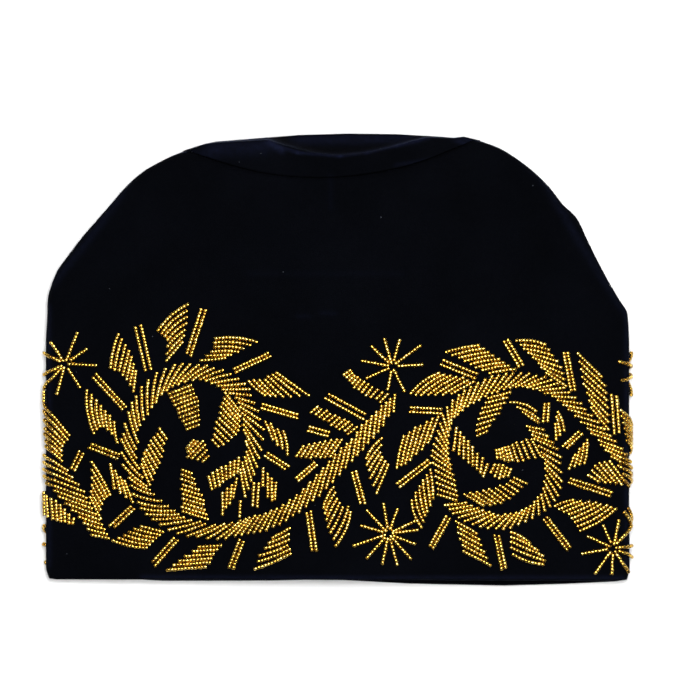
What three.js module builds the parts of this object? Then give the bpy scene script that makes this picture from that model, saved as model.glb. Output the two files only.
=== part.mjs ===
// A soft velvet cap that lies flat on its back. The side wall is one tube, pressed into folds at its left
// and right edges and open at the rim, and a round crown is sewn into its far end. Bead embroidery runs
// round the lower wall: paved bands of a running scroll, with paved leaves and petals beside them.
// Millimetres. Chart places are x across the front and y from the rim towards the crown, as seen from above.
// +Z is up from the surface that the cap lies on.

import * as THREE from 'three';
import { mergeVertices } from 'three/addons/utils/BufferGeometryUtils.js';

// Driving dimensions
const WALL = 1.6; // velvet with its backing
const FOLD_RADIUS = 4; // outside radius of the pressed left and right folds
const SEAM_GAP = 0.3; // between the wall's far edge and the crown
const PAD_GAP = 0.3; // between the cloth and the paved beads
const BEAD_HEIGHT = 2; // how far the paved beads stand over the cloth
const PAD_TRIM = 0.5; // taken off both ends of each strand, so that neighbouring patches stay apart
const PUFF_POWER = 1.5; // how round the front wall is, from fold to fold

// Divisions of the faceted surfaces
const FRONT_STEPS = 20;
const FOLD_POINTS = 5;
const CROWN_STEPS = 3; // from the seam to the ridge, and again from the ridge to the far edge
const PAD_STEP = 11;
const FOLD_STEP = 2;
const FOLD_ZONE = 135; // chart x past which a patch reaches a fold

// Sections of the side wall from the rim to the crown seam. leftX to rightY are the two folds, frontY and
// backY the middle of the front and back, rise how far the front stands over the folds, and lift how far
// the back is off the surface, which leaves room for the beads there.
const SECTION_COLUMNS = ['leftX', 'leftY', 'rightX', 'rightY', 'frontY', 'backY', 'rise', 'lift'];
const SECTIONS = [
  [-141.2, -0.6, 140.2, -1.2, -0.8, -3.6, 9, 2.3],
  [-142.5, 4, 141.2, 4, 4, 3, 10, 2.3],
  [-142.5, 40, 141, 40, 40, 40, 13, 2.3],
  [-142.5, 80, 141, 80, 80, 80, 14.5, 2.3],
  [-142.5, 112, 141, 112, 112, 112, 14.5, 2.3],
  [-141.8, 127, 140.2, 127, 127, 127, 14, 2.3],
  [-141.6, 134, 136.2, 134, 134, 134, 13.8, 2.3],
  [-139.9, 141, 132.1, 141, 141, 141, 13.5, 1.1],
  [-137.1, 148, 128.3, 148, 148, 148, 13, 0],
  [-131.4, 156, 124.2, 156, 156, 156, 12.5, 0],
  [-125.3, 164, 120.3, 164, 164, 164, 12.2, 0],
  [-116.7, 174, 115.4, 174, 173, 174, 12, 0],
  [-111, 180.5, 108.7, 180.5, 178.8, 180.5, 11.8, 0],
  [-104.6, 188, 102.9, 188, 184, 188, 11.6, 0],
  [-95.9, 196, 95, 196, 188, 196, 11.4, 0],
  [-85.4, 202, 87.3, 202, 190.8, 202, 11.2, 0],
  [-76, 205, 79.5, 206, 192, 204.5, 11.1, 0],
  [-68, 206.6, 67, 207.9, 193.2, 205.5, 11, 0],
].map((row) => Object.fromEntries(SECTION_COLUMNS.map((name, i) => [name, row[i]])));

// The crown's far edge, its front ridge and the dip behind the ridge
const CROWN = {
  middleX: 4,
  farY: 214.6,
  farFall: 0.00095, // drop of the far edge to both sides, per mm squared
  farHeight: 8,
  ridgeShare: 0.47, // place of the ridge between the seam and the far edge
  ridgeSpread: 0.0003, // how fast the ridge nears the far edge to both sides, per mm squared
  ridgeMost: 0.92,
  ridgeHeight: 1.2,
  dip: 3,
  dipHalfWidth: 48,
};

// Strands that set the shape of each paved band: chart x and y of one end, then of the other
const STEMS = {
  scroll_left_upper: [
    [-96.4, 51.8, -105.5, 66.8], [-97.7, 60.8, -103.8, 74.3], [-97.3, 70.4, -100.2, 84.8],
    [-92.3, 77.9, -92.1, 95.6], [-86, 87.1, -79, 103.1], [-78.1, 92.5, -67.4, 102.7],
    [-67.9, 94.8, -56, 99.8], [-59.4, 92.1, -45, 93.3], [-50.6, 86.7, -40.4, 84],
    [-47.1, 79.4, -36, 71], [-46, 71, -38.1, 56.6], [-45, 61.3, -40.6, 48.9], [-47.9, 52.6, -45.2, 38.2],
  ],
  scroll_left_lower: [
    [-94.8, 47.6, -105.4, 60.4], [-91.3, 41.8, -102.1, 48.2], [-82.1, 33.9, -98.7, 36.2],
    [-74.6, 28.7, -91, 27.6], [-63.7, 26, -78.8, 20.8], [-55.2, 25.7, -69.2, 19.1],
    [-46.9, 27.8, -59.4, 17.8], [-42.9, 29.1, -51, 19],
  ],
  stem_middle: [
    [-47, 19.8, -40.2, 30], [-35.4, 22.1, -29.6, 33.6], [-22.6, 28.6, -16.8, 43],
    [-9.8, 38.5, -4.6, 56.2], [3, 52, 6.3, 67.7], [11.3, 61, 13.4, 76.1],
    [18.8, 69.4, 20.5, 82.6], [26.2, 79.5, 27, 88.7],
  ],
  stem_edge_upper: [[-144, 84, -130.2, 67.5], [-143, 72, -133.8, 62.5], [-142, 63, -133.8, 55.1]],
  stem_edge_lower: [
    [-144.2, 59, -131.7, 51.2], [-143.3, 48.2, -123.3, 40.8], [-136.5, 38.7, -119.4, 32.6],
    [-126.9, 28.9, -114.2, 24.9], [-120, 20.1, -111, 18.3],
  ],
  scroll_right_outer: [
    [57.8, 36.7, 46.8, 39.9], [56.9, 43.7, 46.1, 48.8], [55.1, 51.3, 44.1, 58.7],
    [52.9, 58.9, 46.6, 67.1], [53.1, 67.3, 49.9, 78.8], [55.5, 76.1, 58, 88.7],
    [64.5, 83.3, 70.8, 95.8], [76.3, 89.1, 84.6, 98.8], [88, 91.6, 100.1, 96.7],
    [99.2, 88.7, 112.5, 89.1], [110.4, 80.8, 123.5, 77.4], [122.3, 69.1, 135.1, 65.1],
    [132.2, 57.6, 142.5, 52.5],
  ],
  scroll_right_inner: [
    [50.4, 34.5, 62.3, 35.8], [57.1, 28.4, 70.8, 32.2], [67.7, 23.7, 77.8, 30.2],
    [78.8, 22.1, 86.2, 31.6], [90, 25.9, 92.9, 35.1], [99.7, 31.1, 97.4, 40.5],
    [106.6, 38.1, 99.7, 49.1], [108.2, 45.5, 99.2, 55.1], [108, 54, 97.4, 60.3],
    [106.4, 61.2, 94.1, 66.7], [99.2, 70.9, 90, 72.9],
  ],
};

const LEAVES = [
  [[-110.6, 100.2, -106.7, 117.7], [-104.7, 97.1, -101.5, 109.8], [-99.6, 89.2, -98.2, 100.2]],
  [[-118.5, 68.5, -122.2, 90.6], [-113.9, 72.2, -115.2, 83.3], [-107.3, 64.6, -108.9, 75.6]],
  [[-120.1, 55.8, -110.8, 39], [-120.2, 46.5, -114, 35.6], [-120.7, 38.3, -115.1, 27.4]],
  [[-110.6, 54.3, -108.7, 42.2], [-104, 46.6, -99.7, 35.3]],
  [[-110.2, 17.6, -92.7, 13.9], [-96.7, 24.5, -84.6, 21.6]],
  [[-143.8, 41, -143, 29], [-136.3, 35.8, -135.6, 26], [-128.5, 28.5, -129.2, 24.7]],
  [[-44.2, 95.3, -35, 87.4], [-36.5, 96.2, -26.7, 86.5], [-31.4, 99.6, -13.9, 87.2]],
  [[-60.6, 115.2, -39.2, 113.3], [-61.4, 109.8, -47, 109.3], [-66.7, 104.6, -54, 106]],
  [[-87.9, 118.3, -72.5, 132], [-83.5, 113.8, -73.2, 122.7], [-83.5, 104.2, -75.2, 113.8]],
  [[-35.7, 75.8, -31.8, 65.7], [-27.1, 70.4, -24.9, 58.5]],
  [[-21.1, 57.4, -17, 63.4], [-12.8, 57, -7.5, 66], [-4.5, 57.8, 1.6, 66.8]],
  [[34.2, 88, 48.1, 98.3], [42.5, 87.5, 57.3, 97], [53.5, 88, 66.1, 94.9]],
  [[51.3, 108.6, 67.7, 112], [71.5, 98.1, 85.5, 100.3]],
  [[27.8, 52.2, 31.5, 68.9], [34.2, 56, 39.6, 74.1], [43, 64.6, 48.1, 77.9]],
  [[12.8, 56.5, 21, 67.3], [14.3, 49, 20.7, 59.5], [17.9, 39.9, 24, 54.4]],
  [[-7.6, 32.7, -2.2, 44.1], [-5.6, 23.7, 0.5, 36], [-2, 14.5, 5.9, 32.2]],
  [[-32.7, 18.5, -23.2, 23.8], [-37.5, 12.2, -24.2, 16.8], [-41.5, 3.7, -23.3, 11.4]],
  [[-68.8, 14.3, -56.9, 15.1], [-83.8, 3.2, -63.7, 4.7]],
  [[84.6, 114.2, 100.4, 112], [92.2, 107.2, 106.8, 102.6], [99.5, 99, 110.4, 92]],
  [[115.2, 108.2, 128.2, 95.8], [118.1, 95, 130.6, 83], [121.9, 81.9, 131.1, 70.5]],
  [[136.3, 80.8, 146, 70], [138.7, 66.2, 147, 58]],
  [[111.1, 51.5, 114.7, 59.8], [118.8, 54.2, 120.3, 66.7]],
  [[105.5, 80.4, 109.1, 69.8], [104.6, 74.3, 105.1, 65.3]],
  [[120.3, 49.3, 126.6, 45.2], [124.5, 54.9, 133.3, 44.8], [131.1, 56, 140.3, 43.2]],
  [[103.3, 33.3, 114, 36.8], [111, 28.6, 126.5, 35.7], [116.3, 21.7, 134.5, 32.8]],
  [[83.1, 21, 93.8, 14.1], [82.4, 17, 99.2, 9.6], [84.2, 10.7, 100.1, 5.5]],
  [[55.8, 27.1, 67, 20.6], [59.8, 12.5, 73.5, 5.3]],
  [[35, 37.8, 40.5, 22.8], [39.7, 45.7, 42.3, 29.5], [43.9, 52.6, 45.4, 37.4]],
  [[138.7, 33, 144, 25], [138.5, 29.8, 142.5, 23.5]],
];

const PETALS = {
  petal_left_1: [[-82.5, 88.3, -71, 92.7], [-78.5, 79.8, -67.8, 84], [-74.2, 71, -67.3, 73.5]],
  petal_left_2: [[-55.4, 89.4, -47.5, 79.6], [-58.3, 78.8, -48.5, 69.2], [-61.6, 66.9, -57.7, 62.3]],
  petal_left_3: [[-74, 61.6, -70, 66.3], [-72.5, 57, -64.8, 65], [-65.6, 55.7, -62.5, 58.9]],
  petal_left_4: [[-87.1, 72.1, -83.1, 66.3], [-92.5, 64.1, -86.7, 54.9], [-96, 55.3, -91.2, 43.5]],
  petal_left_5: [[-76.5, 52, -70.4, 49.7], [-76.5, 41.3, -65.5, 38], [-76, 31.6, -62.7, 27.6]],
  petal_left_6: [[-61.2, 41.6, -63.1, 49.1], [-49, 50, -48.3, 58.3]],
  petal_left_7: [[-56.3, 30, -56.3, 40.8], [-51.2, 37.6, -49.2, 47.8]],
  petal_left_8: [[-36.8, 43.2, -36.5, 52.6], [-33.3, 36.5, -33.5, 49.5], [-30.9, 36.8, -30.5, 46.1]],
  petal_middle_1: [[-13.9, 79.1, -10.1, 82.5], [4.1, 68.8, 9, 72.9]],
  petal_middle_2: [[1.4, 97.3, 5.4, 99.8], [8.8, 89.9, 12.4, 94.6], [19.4, 83.9, 23.5, 88.4]],
  petal_right_1: [[72.1, 86.4, 83.3, 89.3], [66.5, 77.3, 78.2, 80.3], [66.1, 67.8, 72.1, 70.7]],
  petal_right_2: [[55.3, 60.8, 56.7, 72.3], [63.5, 53.5, 63.3, 64.5], [69.9, 48.6, 71.9, 55.1]],
  petal_right_3: [[73, 50, 75.5, 54.9], [81.3, 47.9, 83.1, 52]],
  petal_right_4: [[76.6, 56.5, 75.9, 61.2], [85.3, 55.2, 82.5, 64], [97.9, 57.4, 92.7, 67.1]],
  petal_right_5: [[60, 40.1, 70.6, 34], [73.5, 43, 82, 36.6], [84.9, 47.7, 90.9, 44.8]],
  petal_right_6: [[82, 84.1, 95.9, 79.6], [88.2, 79.7, 97, 74.1]],
};

// Stems that are repeated on the back, with the number of their strands that fit between the folds
const BACK_STEMS = {
  scroll_left_upper: 13,
  scroll_left_lower: 8,
  stem_middle: 8,
  scroll_right_outer: 11,
  scroll_right_inner: 11,
};

const { lerp, clamp } = THREE.MathUtils;

function mixRows(a, b, share) {
  return Object.fromEntries(SECTION_COLUMNS.map((name) => [name, lerp(a[name], b[name], share)]));
}

function sectionAt(y) {
  const last = SECTIONS.length - 2;
  const found = SECTIONS.findIndex((row, i) => i > last || y < SECTIONS[i + 1].frontY);
  const i = Math.min(found, last);
  const span = SECTIONS[i + 1].frontY - SECTIONS[i].frontY;
  return mixRows(SECTIONS[i], SECTIONS[i + 1], (y - SECTIONS[i].frontY) / span);
}

// The place on a section at the distance c along the cloth. c is x on the front, goes on round the folds
// and comes back along the flat back.
function placeOnSection(section, c) {
  const low = section.leftX + FOLD_RADIUS;
  const high = section.rightX - FOLD_RADIUS;
  const halfTurn = Math.PI * FOLD_RADIUS;
  const past = Math.max(low - c, c - high);
  const edge = c < low ? low : high;
  const outward = c < low ? -1 : 1;
  const middle = (low + high) / 2;
  const half = (high - low) / 2;
  let x = c;
  let z = section.lift + 2 * FOLD_RADIUS;
  let middleY = section.frontY;
  if (past > halfTurn) {
    x = edge - outward * (past - halfTurn);
    z = section.lift;
    middleY = section.backY;
  } else if (past > 0) {
    x = edge + outward * FOLD_RADIUS * Math.sin(past / FOLD_RADIUS);
    z = section.lift + FOLD_RADIUS * (1 + Math.cos(past / FOLD_RADIUS));
  }
  const across = clamp((x - middle) / half, -1, 1);
  if (past <= 0) z += section.rise * Math.pow(1 - across * across, PUFF_POWER);
  const foldY = lerp(section.leftY, section.rightY, (across + 1) / 2);
  const sag = middleY - (section.leftY + section.rightY) / 2;
  return new THREE.Vector3(x, foldY + sag * (1 - across * across), z);
}

// Distances along the cloth of a ring's points: front, right fold, back and left fold. The back has the
// same x places as the front.
function ringStations(section) {
  const low = section.leftX + FOLD_RADIUS;
  const high = section.rightX - FOLD_RADIUS;
  const halfTurn = Math.PI * FOLD_RADIUS;
  const front = Array.from({ length: FRONT_STEPS + 1 }, (_, i) => lerp(low, high, i / FRONT_STEPS));
  const fold = Array.from({ length: FOLD_POINTS }, (_, i) => (halfTurn * (i + 1)) / (FOLD_POINTS + 1));
  return [
    ...front,
    ...fold.map((arc) => high + arc),
    ...front.map((x) => high + halfTurn + (x - low)),
    ...fold.map((arc) => low - halfTurn + arc),
  ];
}

function ring(section) {
  return ringStations(section).map((c) => placeOnSection(section, c));
}

function gridTriangles(rowCount, columnCount, closed) {
  const triangles = [];
  const columns = closed ? columnCount : columnCount - 1;
  for (let i = 0; i + 1 < rowCount; i += 1) {
    for (let j = 0; j < columns; j += 1) {
      const a = i * columnCount + j;
      const b = i * columnCount + ((j + 1) % columnCount);
      triangles.push(a, b, b + columnCount, a, b + columnCount, a + columnCount);
    }
  }
  return triangles;
}

function surfaceFromRows(rows, closed) {
  const surface = new THREE.BufferGeometry().setFromPoints(rows.flat());
  surface.setIndex(gridTriangles(rows.length, rows[0].length, closed));
  const merged = mergeVertices(surface, 1e-3);
  merged.computeVertexNormals();
  return merged;
}

function volume(points, triangles) {
  let sum = 0;
  for (let i = 0; i < triangles.length; i += 3) {
    const [a, b, c] = [0, 1, 2].map((k) => points[triangles[i + k]]);
    sum += a.dot(new THREE.Vector3().crossVectors(b, c)) / 6;
  }
  return sum;
}

// A closed body between a surface and its copy at a distance along the surface's normals
function thicken(surface, thickness) {
  const position = surface.getAttribute('position');
  const normal = surface.getAttribute('normal');
  const index = Array.from(surface.getIndex().array);
  const count = position.count;
  const near = Array.from({ length: count }, (_, i) => new THREE.Vector3().fromBufferAttribute(position, i));
  const far = near.map((point, i) => {
    const direction = new THREE.Vector3().fromBufferAttribute(normal, i);
    return point.clone().addScaledVector(direction, thickness);
  });
  const edges = new Set();
  const triangles = [];
  for (let i = 0; i < index.length; i += 3) {
    const [a, b, c] = index.slice(i, i + 3);
    edges.add(`${a} ${b}`).add(`${b} ${c}`).add(`${c} ${a}`);
    triangles.push(a, b, c, count + a, count + c, count + b);
  }
  for (const edge of edges) {
    const [a, b] = edge.split(' ').map(Number);
    if (!edges.has(`${b} ${a}`)) triangles.push(b, a, count + a, b, count + a, count + b);
  }
  const points = [...near, ...far];
  if (volume(points, triangles) < 0) triangles.reverse();
  const body = new THREE.BufferGeometry().setFromPoints(points);
  body.setIndex(triangles);
  body.computeVertexNormals();
  return body;
}

function sideWall() {
  return thicken(surfaceFromRows(SECTIONS.map(ring), true), -WALL);
}

function crownFarEdge(seam) {
  const top = SECTIONS.at(-1);
  const middle = (top.rightX + top.leftX) / 2;
  const half = (top.rightX - top.leftX) / 2;
  const roundness = Math.sqrt(Math.max(0, 1 - ((seam.x - middle) / half) ** 2));
  const y = CROWN.farY - CROWN.farFall * (seam.x - CROWN.middleX) ** 2;
  return { y, z: lerp(FOLD_RADIUS, CROWN.farHeight, roundness), roundness };
}

// A line over the crown from a point of the front seam, over the ridge and through the dip to the far edge
function crownFrontLine(seam) {
  const far = crownFarEdge(seam);
  const aside = seam.x - CROWN.middleX;
  const ridge = Math.min(CROWN.ridgeShare + CROWN.ridgeSpread * aside * aside, CROWN.ridgeMost);
  const crest = seam.z + CROWN.ridgeHeight * far.roundness;
  const dip = CROWN.dip * Math.max(0, 1 - (aside / CROWN.dipHalfWidth) ** 2);
  return Array.from({ length: 2 * CROWN_STEPS + 1 }, (_, i) => {
    const climb = Math.min(i / CROWN_STEPS, 1);
    const fall = Math.max(i / CROWN_STEPS - 1, 0);
    const share = ridge * climb + (1 - ridge) * fall;
    const height = lerp(seam.z, crest, Math.sin((climb * Math.PI) / 2));
    const z = lerp(height, far.z, fall) - dip * Math.sin(Math.PI * fall);
    return new THREE.Vector3(seam.x, lerp(seam.y, far.y, share), z);
  });
}

// A line from a point of the back seam round the underside of the far edge
function crownBackLine(seam) {
  const far = crownFarEdge(seam);
  return Array.from({ length: 2 * CROWN_STEPS + 1 }, (_, i) => {
    const turn = (i / (2 * CROWN_STEPS)) * (Math.PI / 2);
    const y = lerp(seam.y, far.y, Math.sin(turn));
    return new THREE.Vector3(seam.x, y, lerp(far.z, seam.z, Math.cos(turn)));
  });
}

function crown() {
  const seam = ring(SECTIONS.at(-1));
  const backFirst = FRONT_STEPS + 1 + FOLD_POINTS / 2;
  const backLast = seam.length - FOLD_POINTS / 2;
  const onBack = (j) => j > backFirst && j < backLast;
  const lines = seam.map((point, j) => (onBack(j) ? crownBackLine(point) : crownFrontLine(point)));
  const rows = lines[0].map((_, i) => lines.map((line) => line[i]));
  const body = thicken(surfaceFromRows(rows, true), -WALL);
  return body.translate(0, SEAM_GAP, 0);
}

function trimmed([ax, ay, bx, by]) {
  const share = PAD_TRIM / Math.hypot(bx - ax, by - ay);
  return [lerp(ax, bx, share), lerp(ay, by, share), lerp(bx, ax, share), lerp(by, ay, share)];
}

function gapBetween(one, other) {
  const startGap = Math.hypot(other[0] - one[0], other[1] - one[1]);
  return Math.max(startGap, Math.hypot(other[2] - one[2], other[3] - one[3]));
}

function reachesFold([ax, , bx]) {
  return Math.max(Math.abs(ax), Math.abs(bx)) > FOLD_ZONE;
}

function withStrandsBetween(strands) {
  const all = [strands[0]];
  for (let i = 1; i < strands.length; i += 1) {
    const step = reachesFold(strands[i - 1]) || reachesFold(strands[i]) ? FOLD_STEP : PAD_STEP;
    const count = Math.ceil(gapBetween(strands[i - 1], strands[i]) / step);
    for (let k = 1; k <= count; k += 1) {
      all.push(strands[i].map((value, n) => lerp(strands[i - 1][n], value, k / count)));
    }
  }
  return all;
}

// The place of a chart point over the cloth, on the front or turned round to the back
function overCloth(x, y, onBack) {
  const section = sectionAt(y);
  const back = 2 * (section.rightX - FOLD_RADIUS) + Math.PI * FOLD_RADIUS;
  const c = onBack ? back + x : x;
  const small = 0.01;
  const place = placeOnSection(section, c);
  const along = placeOnSection(section, c + small).sub(place);
  const up = placeOnSection(sectionAt(y + small), c).sub(place);
  return place.addScaledVector(along.cross(up).normalize(), PAD_GAP);
}

function pavedPatch(strands, onBack) {
  const step = strands.some(reachesFold) ? FOLD_STEP : PAD_STEP;
  const all = withStrandsBetween(strands).map(trimmed);
  const longest = Math.max(...all.map(([ax, ay, bx, by]) => Math.hypot(bx - ax, by - ay)));
  const across = Math.ceil(longest / step);
  const rows = all.map(([ax, ay, bx, by]) => Array.from({ length: across + 1 }, (_, k) => {
    const share = k / across;
    return overCloth(lerp(ax, bx, share), lerp(ay, by, share), onBack);
  }));
  const surface = surfaceFromRows(rows, false);
  const facing = new THREE.Vector3().fromBufferAttribute(surface.getAttribute('normal'), 0);
  const outward = Math.sign(facing.z) * (onBack ? -1 : 1);
  return thicken(surface, outward * BEAD_HEIGHT);
}

const hat = new THREE.Group();

function addPiece(name, geometry, colour, roughness, metalness) {
  const piece = new THREE.Mesh(geometry, new THREE.MeshStandardMaterial({ color: colour, roughness, metalness }));
  piece.name = name;
  hat.add(piece);
}

const addVelvet = (name, geometry) => addPiece(name, geometry, 0x0a0c14, 0.9, 0);
const addBeads = (name, strands, onBack) => addPiece(name, pavedPatch(strands, onBack), 0xc9942a, 0.3, 1);

addVelvet('side_wall', sideWall());
addVelvet('crown', crown());
for (const [name, strands] of Object.entries(STEMS)) addBeads(name, strands, false);
LEAVES.forEach((strands, i) => addBeads(`leaf_${String(i + 1).padStart(2, '0')}`, strands, false));
for (const [name, strands] of Object.entries(PETALS)) addBeads(name, strands, false);
for (const [name, count] of Object.entries(BACK_STEMS)) {
  addBeads(`back_${name}`, STEMS[name].slice(0, count), true);
}

// The origin is the middle of the cap's underside, on the surface that it lies on
const box = new THREE.Box3().setFromObject(hat);
const middle = box.getCenter(new THREE.Vector3());
hat.position.set(-middle.x, -middle.y, -box.min.z);

export default hat;
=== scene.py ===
"""A soft velvet cap that lies flat on its back, with gold seed beads round its lower wall.

Sizes are in millimetres and become metres when a mesh is made. Chart places are x across the
front and y from the rim towards the crown, as seen from above.
"""

import math

import bmesh
import bpy
import numpy as np
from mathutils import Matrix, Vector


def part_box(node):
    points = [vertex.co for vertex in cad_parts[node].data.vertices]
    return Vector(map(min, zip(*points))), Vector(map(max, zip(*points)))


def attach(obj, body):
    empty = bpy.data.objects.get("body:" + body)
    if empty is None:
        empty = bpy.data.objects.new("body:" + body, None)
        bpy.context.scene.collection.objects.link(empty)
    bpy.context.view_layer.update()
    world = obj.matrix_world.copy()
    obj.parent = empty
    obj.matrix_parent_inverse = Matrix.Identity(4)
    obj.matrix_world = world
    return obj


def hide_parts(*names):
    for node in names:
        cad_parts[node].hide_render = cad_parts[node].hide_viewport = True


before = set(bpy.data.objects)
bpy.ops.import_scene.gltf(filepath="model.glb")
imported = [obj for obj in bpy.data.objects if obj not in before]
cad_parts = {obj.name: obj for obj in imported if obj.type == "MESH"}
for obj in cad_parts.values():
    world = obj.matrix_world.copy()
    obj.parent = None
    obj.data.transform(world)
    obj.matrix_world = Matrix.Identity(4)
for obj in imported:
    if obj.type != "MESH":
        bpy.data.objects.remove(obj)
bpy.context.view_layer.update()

MM = 0.001
random = np.random.default_rng(11)

# Cloth sizes
WALL = 1.6
FOLD_RADIUS = 4.0
PUFF_POWER = 1.5
HEM_DEPTH = 8.0
HEM_EXTRA = 0.9
SEAM_ROLL = 0.9
SEAM_ROLL_DEPTH = 2.2
SEAM_ROLL_FADE = 8.0
RIM_LIP = 1.2
RIM_REACH = 14.0
FOLD_FADE = 9.0
# How far past the side folds the painted sheen on the wall fades out
PAINTED_SHEEN_FADE = (6.0, 9.0)
RIPPLE_PLAIN = 0.18
RIPPLE_ABOVE = 0.5
RIPPLE_RISE = (118.0, 150.0)

# Bead sizes
BEAD_RADIUS = 0.97
BEAD_PITCH = 1.64
BEAD_FILL = 0.97
BEAD_LIFT = 0.05
BEAD_SHIFT = 0.045
BEAD_TURN = 0.05
BEAD_SIZE_SPREAD = 0.03
BEAD_SIZE_LIMITS = (0.92, 1.05)
STRAND_END_SPREAD = 0.3
STRAND_SHIFT = 0.05
BAR_HALVES = (-0.5, 0.5)
STAR_HOLLOWS = (1.3, 2.4)

# Sections of the side wall from the rim to the crown seam
SECTION_COLUMNS = ("left_x", "left_y", "right_x", "right_y", "front_y", "back_y", "rise", "lift")
SECTIONS = np.array([
    (-141.2, -0.6, 140.2, -1.2, -0.8, -3.6, 9, 2.3),
    (-142.5, 4, 141.2, 4, 4, 3, 10, 2.3),
    (-142.5, 40, 141, 40, 40, 40, 13, 2.3),
    (-142.5, 80, 141, 80, 80, 80, 14.5, 2.3),
    (-142.5, 112, 141, 112, 112, 112, 14.5, 2.3),
    (-141.8, 127, 140.2, 127, 127, 127, 14, 2.3),
    (-141.6, 134, 136.2, 134, 134, 134, 13.8, 2.3),
    (-139.9, 141, 132.1, 141, 141, 141, 13.5, 1.1),
    (-137.1, 148, 128.3, 148, 148, 148, 13, 0),
    (-131.4, 156, 124.2, 156, 156, 156, 12.5, 0),
    (-125.3, 164, 120.3, 164, 164, 164, 12.2, 0),
    (-116.7, 174, 115.4, 174, 173, 174, 12, 0),
    (-111, 180.5, 108.7, 180.5, 178.8, 180.5, 11.8, 0),
    (-104.6, 188, 102.9, 188, 184, 188, 11.6, 0),
    (-95.9, 196, 95, 196, 188, 196, 11.4, 0),
    (-85.4, 202, 87.3, 202, 190.8, 202, 11.2, 0),
    (-80.5, 204.3, 77.5, 208, 192, 204, 11.1, 0),
    (-76, 206, 68.5, 211.3, 193.2, 205.5, 11, 0),
])

# Chart place of the wall's low corner, which lines the chart up with the frame
CHART_LOW = (-142.5, -3.6)

# The back edge of the rim as it shows below the front one: x, y
BACK_RIM = np.array([
    (-142, -0.4), (-136, -1.4), (-130, 0), (-122, -2.1), (-106, -1.7), (-85, -2.8), (-35, -2.6),
    (-5, -1.9), (35, -3.9), (80, -4.7), (110, -3.8), (135, -2.6), (142, -1.2),
])

# Soft folds in the front: from x, y to x, y, with their half-width and height
FOLDS = (
    (-4, 177, -4, 194, 1.6, -0.5),
    (-43, 146.5, 29, 146.5, 2.2, -0.45),
    (104, 185, 86, 194, 3.0, 1.3),
    (-88, 197, -62, 204, 3.5, 1.2),
    (-141, 136, -92, 158, 9.0, 1.6),
    (140, 128, 100, 150, 8.0, 1.6),
    (117, 173, 88, 170, 6.0, 1.3),
    (-30, 132, -8, 160, 12.0, 0.6),
    (20, 186, 52, 150, 10.0, 0.7),
    (-70, 190, -60, 150, 11.0, 0.7),
)

# The crown: the height of its far edge, its front ridge, the dip behind that and its thin ends
CROWN_MIDDLE = 4.0
CROWN_FAR_HEIGHT = 8.0
CROWN_RIDGE_SHARE = 0.47
CROWN_RIDGE_SPREAD = 0.0003
CROWN_RIDGE_MOST = 0.92
CROWN_RIDGE_HEIGHT = 1.2
CROWN_DIP = 4.2
CROWN_DIP_POWER = 0.7
CROWN_DIP_HALF_WIDTH = 48.0
CROWN_GAP = 0.15
CROWN_TIP_FADE = 12.0
CROWN_TIP_THICKNESS = 0.12

# The crown's far edge against the ground: x, y
CROWN_EDGE = np.array([
    (-76.5, 206), (-70, 208.2), (-64.8, 209.8), (-60, 210.7), (-46.5, 211.8), (-19.4, 213.9),
    (5, 214.6), (28, 214.3), (44.3, 213.4), (56, 212.6), (60.6, 213.2), (64.5, 212.3),
    (68.5, 211.2),
])

# Strokes of painted sheen, where the velvet's colour is made lighter and bluer along the crown's ridge and
# far edge, the creases, the side edges and the rim: from x, y to x, y, half-width and strength
PAINTED_SHEEN_STROKES = (
    (-28.5, 207.8, -20, 205.2, 0.7, 0.7), (-20, 205.2, 0.5, 203.6, 0.7, 0.7),
    (0.5, 203.6, 14, 205.4, 0.7, 0.6), (14, 205.4, 28, 208.8, 0.7, 0.7),
    (28, 208.8, 43, 212.4, 0.8, 0.7), (-34, 210.6, -28.5, 206.6, 1.4, 0.8),
    (-60, 208.2, -34, 208.8, 2.8, 0.34), (-58, 204.5, -38, 205.5, 2.5, 0.15),
    (-82, 199, -64, 205, 3.5, 0.26), (-20, 211.5, 34, 212.3, 2.6, 0.4),
    (57, 211.2, 66, 207.7, 1.0, 0.5), (66, 207.7, 70, 200.7, 1.4, 0.4),
    (88, 193.3, 103, 185.6, 1.8, 0.4), (60, 212.6, 86, 202.6, 1.6, 0.4),
    (28, 199.3, 53, 203.7, 0.9, 0.25), (-141.2, 6, -141.2, 130, 1.4, 0.4),
    (140, 6, 140, 126, 1.4, 0.35), (-139, 142, -97, 194, 2.0, 0.25),
    (139, 128, 97, 193, 2.0, 0.25), (-43, 146.5, 29, 146.5, 1.6, 0.05),
    (-19, 125.8, -15, 125.8, 1.2, 0.12), (-8, 127.5, -2.5, 127.5, 1.2, 0.12),
    (-4, 179, -4, 193, 1.6, 0.07), (-95, -0.6, 138, -0.6, 0.9, 0.4),
)
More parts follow.
